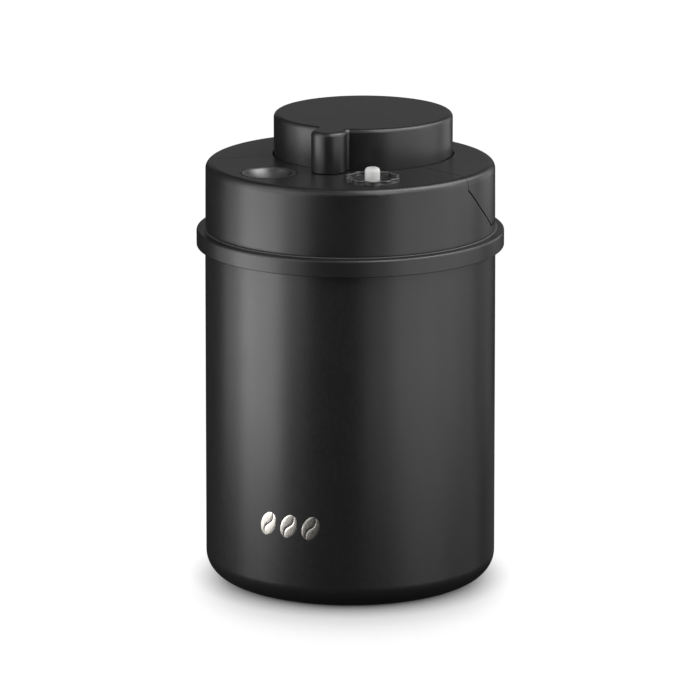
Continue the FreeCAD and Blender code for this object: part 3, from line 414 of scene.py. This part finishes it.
pad = lathe("anti_slip_pad", [
    (0, 0.25), (28.0, 0.25, 0.2), (27.4 + 0.9, 0.0, 0.2), (37.0, 0.0, 0.4), (37.0, 1.48, 0.15), (0, 1.48)],
    192, steps=6)
add_object("anti_slip_pad", pad, "canister", MATS["silicone"], ["base_pad"])

gasket = lathe("seal_gasket", [
    (54.25, 131.1, 0.2), (55.6, 131.1, 0.3), (56.85, 132.7, 0.25), (56.85, 133.2, 0.25), (55.6, 133.8, 0.4),
    (55.6, 136.4, 0.4), (56.85, 137.8, 0.25), (56.85, 138.3, 0.25), (55.6, 138.9, 0.4), (55.6, 141.5, 0.3),
    (56.7, 141.5, 0.25), (56.7, 144.3, 0.2), (59.2, 144.3, 0.1), (59.2, 144.78, 0.34), (56.05, 144.78, 0.1),
    (56.05, 143.15, 0.1), (54.25, 143.15, 0.1)], 256, steps=8)
add_object("seal_gasket", gasket, "lid", MATS["silicone"], ["lid_gasket"])

# ------------------------------------------------------------------ release button
BUTTON, INDICATOR, TOP = (-22.3, -34.0), (21.2, -34.0), 171.7
DISH, RIM = 4.8, 9.8
ball = (RIM * RIM + DISH * DISH) / (2 * DISH)
ball_z = TOP - DISH + ball
lip = 1.5
lip_z = TOP - lip
lip_r = math.sqrt((ball + lip) ** 2 - (lip_z - ball_z) ** 2)
lean = math.degrees(math.atan2(ball_z - lip_z, -lip_r))
button = lathe("release_button_cap", None, 192, BUTTON, longest=3.0, edges=(
    straight([(0, 162.9), (4.9, 162.9), (4.9, 162.0), (6.4, 162.0), (9.2, 164.6), (9.2, 159.0), (12.4, 159.0),
              (12.4, 160.8), (10.7, 160.8), (10.7, 170.2), (10.85, 170.5), (10.85, TOP), (lip_r, TOP)])
    + arc((lip_r, lip_z), lip, 90, lean, 10)
    + arc((0, ball_z), ball, lean - 180, -90, 36, hollow=True)))
button_cap = add_object("release_button_cap", button, "release", MATS["lid_plastic"], ["release_button"])

# ------------------------------------------------------------------ indicator
pin = lathe("indicator_pin_cap", [
    (0, 148.0), (1.5, 148.0, 0.2), (1.5, 150.05), (3.0, 150.05), (3.0, 159.5), (4.6, 159.5, 0.2), (4.6, 163.0, 0.2),
    (3.0, 163.0), (3.0, 176.9, 1.9), (0, 176.9)], 96, INDICATOR, steps=14, longest=2.0)
pin_cap = add_object("indicator_pin_cap", pin, "indicator", MATS["white_plastic"], ["indicator_pin"])

CREST = math.radians(-70.6)


def ring_outline(ang):
    w = math.cos(10 * (ang - CREST))
    w2 = math.cos(20 * (ang - CREST))
    wave = 0.62 * w - 0.06 * w2
    rim, top = 10.45 + wave, TOP + 1.62
    pts = [(7.65, 163.6), (9.4, 163.6), (9.4, TOP + 0.02), (10.9 + 0.45 * wave, TOP + 0.02)]
    # outer wall: nearly upright, spreading a little at its foot
    for k in range(13):
        f = k / 12
        pts.append((rim + (0.42 - 0.5 * wave) * (1 - f) ** 2.5 - 0.05 * f, TOP + 0.06 + 1.22 * f))
    # rounded rim
    mid = rim - 0.50
    for k in range(1, 10):
        t = math.pi * k / 10
        pts.append((mid + 0.45 * math.cos(t), top - 0.34 + 0.34 * math.sin(t)))
    inner = mid - 0.45
    # inner wall down to the floor, then fine steps to the pin's hole
    for k in range(9):
        f = k / 8
        ease = f * f * (3 - 2 * f)
        pts.append((inner + (9.05 + 0.25 * w - inner) * f ** 1.4, top - 0.35 - 1.11 * ease))
    for r, z in ((8.75, 171.80), (8.2, 171.72), (7.7, 171.66), (7.4, 171.6), (7.32, 171.36), (6.9, 171.32),
                 (6.4, 171.27), (6.22, 171.22), (6.14, 170.98), (5.6, 170.93),
                 (5.06, 170.88), (4.98, 170.62), (3.4, 170.58), (3.25, 170.44), (3.25, 168.0), (7.65, 168.0)):
        pts.append((r, z))
    return pts


ring = swept("scalloped_collar", ring_outline, 400, INDICATOR)
add_object("scalloped_collar", ring, "lid", MATS["collar_rubber"], ["indicator_collar"])


# ------------------------------------------------------------------ return springs
def coil(name, centre, radius, wire, z0, z1, active=4.6, dead=0.9, flats=12, per_turn=40):
    """A round-wire spring with a closed turn at each end."""
    turns = active + 2 * dead
    steps = int(turns * per_turn)
    flat_rise = dead * wire * 1.04
    verts, faces = [], []
    for i in range(steps + 1):
        t = turns * i / steps
        if t < dead:
            rise = flat_rise * t / dead
        elif t > turns - dead:
            rise = (z1 - z0 - wire) - flat_rise * (turns - t) / dead
        else:
            rise = flat_rise + (z1 - z0 - wire - 2 * flat_rise) * (t - dead) / active
        ang = 2 * math.pi * t
        for k in range(flats):
            b = 2 * math.pi * k / flats
            r = radius + wire / 2 * math.cos(b)
            verts.append(((centre[0] + r * math.cos(ang)) * MM, (centre[1] + r * math.sin(ang)) * MM,
                          (z0 + wire / 2 + rise + wire / 2 * math.sin(b)) * MM))
    for i in range(steps):
        for k in range(flats):
            n = (k + 1) % flats
            faces.append((i * flats + k, (i + 1) * flats + k, (i + 1) * flats + n, i * flats + n))
    faces.append(tuple(range(flats)))
    faces.append(tuple(steps * flats + k for k in reversed(range(flats))))
    mesh = bpy.data.meshes.new(name)
    mesh.from_pydata(verts, [], faces)
    check = bmesh.new()
    check.from_mesh(mesh)
    bmesh.ops.recalc_face_normals(check, faces=check.faces)
    check.to_mesh(mesh)
    check.free()
    mesh.shade_smooth()
    mesh.set_sharp_from_angle(angle=math.radians(50))
    mesh.update()
    return mesh


for tag, joint, centre, radius, wire, low, high, travel in (
        ("button", "button_press", BUTTON, 4.0, 0.8, 150.05, 162.8, 2.5),
        ("indicator", "indicator_drop", INDICATOR, 3.9, 0.6, 130.55, 141.9, 4.0)):
    spring = add_object(tag + "_coil", coil(tag + "_coil", centre, radius, wire, low, high), "lid",
                        MATS["steel"], [tag + "_spring"])
    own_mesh(spring)

# ------------------------------------------------------------------ three small coffee beans on the body's front
def bean(name, along, up, lean_deg, wide=3.4, tall=5.1, crease=0.42, high=0.13):
    """One bean lying on the cup's wall, as two closed halves beside a wavy crease."""
    base, nu, nv = 58.88, 8, 30
    turn = math.radians(lean_deg)
    verts, faces = [], []
    for side in (-1, 1):
        first = len(verts)
        for layer in (0, 1):
            for j in range(nv + 1):
                v = math.sin(math.pi / 2 * (2 * j / nv - 1)) * 0.985
                edge = wide * math.sqrt(1 - v * v)
                bend = 0.30 * wide * math.sin(math.pi * v) * (1 - 0.4 * v * v)
                near = bend + side * crease / 2 * (1 - 0.5 * v * v)
                far = side * edge
                if (far - near) * side < 0.04:
                    near = far - side * 0.04
                for i in range(nu + 1):
                    u = i / nu
                    x, y = near + (far - near) * u, v * tall
                    rise = high * (0.35 + 0.65 * (1 - (2 * u - 1) ** 4) * (1 - v ** 6)) if layer else -0.05
                    px = along + x * math.cos(turn) - y * math.sin(turn)
                    py = up + x * math.sin(turn) + y * math.cos(turn)
                    ang = math.radians(-95.2) + px / base
                    r = (base + rise) * MM
                    verts.append((r * math.cos(ang), r * math.sin(ang), py * MM))
        row, deck = nu + 1, (nu + 1) * (nv + 1)
        quad = []
        for j in range(nv):
            for i in range(nu):
                p = first + j * row + i
                quad.append((p + deck, p + 1 + deck, p + 1 + row + deck, p + row + deck))
                quad.append((p, p + row, p + row + 1, p + 1))
        loop = ([i for i in range(nu + 1)] + [j * row + nu for j in range(1, nv + 1)]
                + [nv * row + i for i in range(nu - 1, -1, -1)] + [j * row for j in range(nv - 1, 0, -1)])
        for a, b in zip(loop, loop[1:] + loop[:1]):
            quad.append((first + a, first + b, first + b + deck, first + a + deck))
        faces += [q if side > 0 else q[::-1] for q in quad]
    mesh = bpy.data.meshes.new(name)
    mesh.from_pydata(verts, [], faces)
    mesh.shade_smooth()
    mesh.set_sharp_from_angle(angle=math.radians(50))
    mesh.update()
    return mesh


for tag, along in (("left", -9.3), ("middle", 0.0), ("right", 9.3)):
    add_object("bean_" + tag, bean("bean_" + tag, along, 34.0, -24), "canister", MATS["silver_mark"])

# ------------------------------------------------------------------ floor, light, camera
def floor_material():
    m = Nodes("studio_floor")
    grain = m.noise(60, 3.0, 0.5)
    m.put("Base Color", m.ramp(grain, [(0.3, (0.78, 0.78, 0.78)), (0.7, (0.80, 0.80, 0.80))]))
    m.put("Roughness", 0.9)
    m.put("Specular IOR Level", 0.0)
    # part of the floor's brightness is an even glow, with a painted contact shade: an ambient-occlusion node dims the
    # glow where the object stands close
    painted_contact_shade = m.new("ShaderNodeAmbientOcclusion", samples=16)
    painted_contact_shade.inputs["Distance"].default_value = 0.011
    m.put("Emission Color", m.math("POWER", painted_contact_shade.outputs["AO"], 0.62))
    m.put("Emission Strength", 0.62)
    return m.mat


bpy.ops.mesh.primitive_circle_add(vertices=128, radius=9.0, fill_type="NGON", location=(0, 0, 0))
floor = bpy.context.object
floor.name = "studio_floor"
floor.data.materials.append(floor_material())
floor.visible_glossy = False
floor.visible_diffuse = False
floor.visible_shadow = False

world = bpy.data.worlds.new("studio")
scene.world = world
world.use_nodes = True
wt = world.node_tree
wt.nodes.clear()
w_out = wt.nodes.new("ShaderNodeOutputWorld")
w_mix = wt.nodes.new("ShaderNodeMixShader")
w_path = wt.nodes.new("ShaderNodeLightPath")
w_dim = wt.nodes.new("ShaderNodeBackground")
w_white = wt.nodes.new("ShaderNodeBackground")
w_dim.inputs["Color"].default_value = (1, 1, 1, 1)
w_dim.inputs["Strength"].default_value = 0.014
w_white.inputs["Color"].default_value = (1, 1, 1, 1)
w_white.inputs["Strength"].default_value = 1.0
wt.links.new(w_path.outputs["Is Camera Ray"], w_mix.inputs["Fac"])
wt.links.new(w_dim.outputs["Background"], w_mix.inputs[1])
wt.links.new(w_white.outputs["Background"], w_mix.inputs[2])
wt.links.new(w_mix.outputs["Shader"], w_out.inputs["Surface"])

# the panels light the object only; the floor has its own light
not_floor = bpy.data.collections.new("not_floor")
not_floor.objects.link(floor)
not_floor.collection_objects[0].light_linking.link_state = "EXCLUDE"
dark_only = bpy.data.collections.new("dark_only")
for obj in (floor, pin_cap):
    dark_only.objects.link(obj)
for entry in dark_only.collection_objects:
    entry.light_linking.link_state = "EXCLUDE"
def panel(name, azimuth, distance, z, size, radiance, aim_z=0.09):
    """A soft panel at an azimuth counted from the front of the set, positive to the right."""
    a = VIEW_AZ + math.radians(azimuth)
    loc = Vector((math.sin(a) * distance, -math.cos(a) * distance, z))
    data = bpy.data.lights.new(name, "AREA")
    data.shape = "RECTANGLE"
    data.size, data.size_y = size
    data.energy = radiance * math.pi * size[0] * size[1]
    obj = bpy.data.objects.new(name, data)
    scene.collection.objects.link(obj)
    obj.location = loc
    obj.rotation_euler = (Vector((0, 0, aim_z)) - loc).to_track_quat("-Z", "Y").to_euler()
    obj.visible_camera = False
    obj.light_linking.receiver_collection = not_floor
    return obj


def overhead(name, azimuth, elevation, size, radiance):
    """A square panel on a dome of 0.6 m about the lid."""
    e = math.radians(elevation)
    return panel(name, azimuth, 0.6 * math.cos(e), 0.17 + 0.6 * math.sin(e), (size, size), radiance, 0.17)


# left softbox standing on the table, feathered at its sides and top
for tag, az, low, high in (("a", -102, 1.33, 0.62), ("b", -82, 5.2, 3.16), ("c", -62, 5.3, 2.55), ("d", -42, 0.72, 1.95)):
    panel("left_low_" + tag, az, 0.5, 0.0, (0.17, 0.12), low, 0.0)
    panel("left_high_" + tag, az, 0.5, 0.24, (0.17, 0.36), high, 0.24)
# broad right side, fading towards the back
for tag, az, wide, low, high in (("a", 20, 0.17, 1.13, 0.0), ("b", 40, 0.17, 2.16, 1.45), ("c", 60, 0.17, 2.0, 1.55),
                                 ("d", 80, 0.17, 1.48, 1.86), ("e", 100, 0.17, 0.77, 1.60), ("f", 130, 0.25, 0.235, 0.97)):
    panel("right_low_" + tag, az, 0.5, 0.0, (wide, 0.12), low, 0.0)
    if high:
        panel("right_high_" + tag, az, 0.5, 0.24, (wide, 0.36), high, 0.24)
for tag, az, low in (("a", 60, 0.64), ("b", 100, 0.29), ("c", 150, 0.08)):
    panel("right_foot_" + tag, az, 0.5, -0.11, (0.34, 0.10), low, -0.11)
panel("left_foot", -77, 0.5, -0.11, (0.22, 0.10), 0.7, -0.11)
panel("back", 180, 0.6, 0.28, (0.5, 0.2), 0.18, 0.2)
# three rows of overhead panels, brightest on the right; the white pin is kept out of the upper two
for az, value in ((-180, 0.11), (-120, 0.26), (-90, 1.47), (-60, 2.40), (-30, 1.10), (0, 0.85), (30, 4.22), (60, 2.26),
                  (90, 3.62), (120, 3.22)):
    overhead("row_a_%d" % az, az, 36, 0.22, value)
for az, value in ((-90, 1.07), (-60, 0.10), (-30, 0.15), (30, 3.12), (60, 2.59), (90, 5.48), (120, 2.78)):
    overhead("row_b_%d" % az, az, 54, 0.22, value).light_linking.receiver_collection = dark_only
for az, value in ((-90, 0.28), (0, 0.61), (45, 3.65), (90, 4.03)):
    overhead("row_c_%d" % az, az, 72, 0.20, value).light_linking.receiver_collection = dark_only
# a little more light in the hollow of the button alone
only_button = bpy.data.collections.new("only_button")
only_button.objects.link(button_cap)
for az, el, size, value in ((60, 54, 0.22, 33.0), (120, 54, 0.22, 16.0), (90, 72, 0.20, 36.0)):
    extra = overhead("dish_%d_%d" % (az, el), az, el, size, value)
    extra.light_linking.receiver_collection = only_button

# the rest of the floor's light falls from above and behind, so the lid's soft shadow reaches forward
only_floor = bpy.data.collections.new("only_floor")
only_floor.objects.link(floor)
lid_shades = bpy.data.collections.new("lid_shades")
for obj in (nodes["front_cover"], nodes["rear_cover"], nodes["lid_chassis"], nodes["twist_knob"], button_cap, pin_cap):
    lid_shades.objects.link(obj)
for lean, share in ((3.5, 0.12), (6.5, 0.12), (9.5, 0.08), (13.5, 0.05), (18.5, 0.03)):
    data = bpy.data.lights.new("floor_sun_%d" % lean, "SUN")
    t = math.radians(lean)
    data.energy = share * math.pi / (0.79 * math.cos(t))
    data.angle = math.radians(8.0)
    sun = bpy.data.objects.new(data.name, data)
    scene.collection.objects.link(sun)
    back = Vector((-math.sin(VIEW_AZ), math.cos(VIEW_AZ), 0))
    sun.rotation_euler = (back * math.sin(t) + Vector((0, 0, math.cos(t)))).to_track_quat("Z", "Y").to_euler()
    sun.light_linking.receiver_collection = only_floor
    sun.light_linking.blocker_collection = lid_shades

E, D, A = math.radians(14.11), 1.91519, VIEW_AZ
cam_data = bpy.data.cameras.new("camera")
cam = bpy.data.objects.new("camera", cam_data)
scene.collection.objects.link(cam)
cam_data.sensor_width = 36.0
cam_data.lens = 4721.4 / 700.0 * 36.0
right = Vector((math.cos(A), math.sin(A), 0))
target = Vector((0, 0, 0.092954)) + right * -0.000124
cam.location = target + Vector((math.sin(A) * math.cos(E), -math.cos(A) * math.cos(E), math.sin(E))) * D
cam.rotation_euler = (target - cam.location).to_track_quat("-Z", "Y").to_euler()
cam_data.clip_end = 50.0
cam_data.dof.use_dof = False
scene.camera = cam
scene.view_settings.view_transform = "Standard"
scene.view_settings.look = "None"
scene.view_settings.exposure = 0.0
scene.view_settings.gamma = 1.0
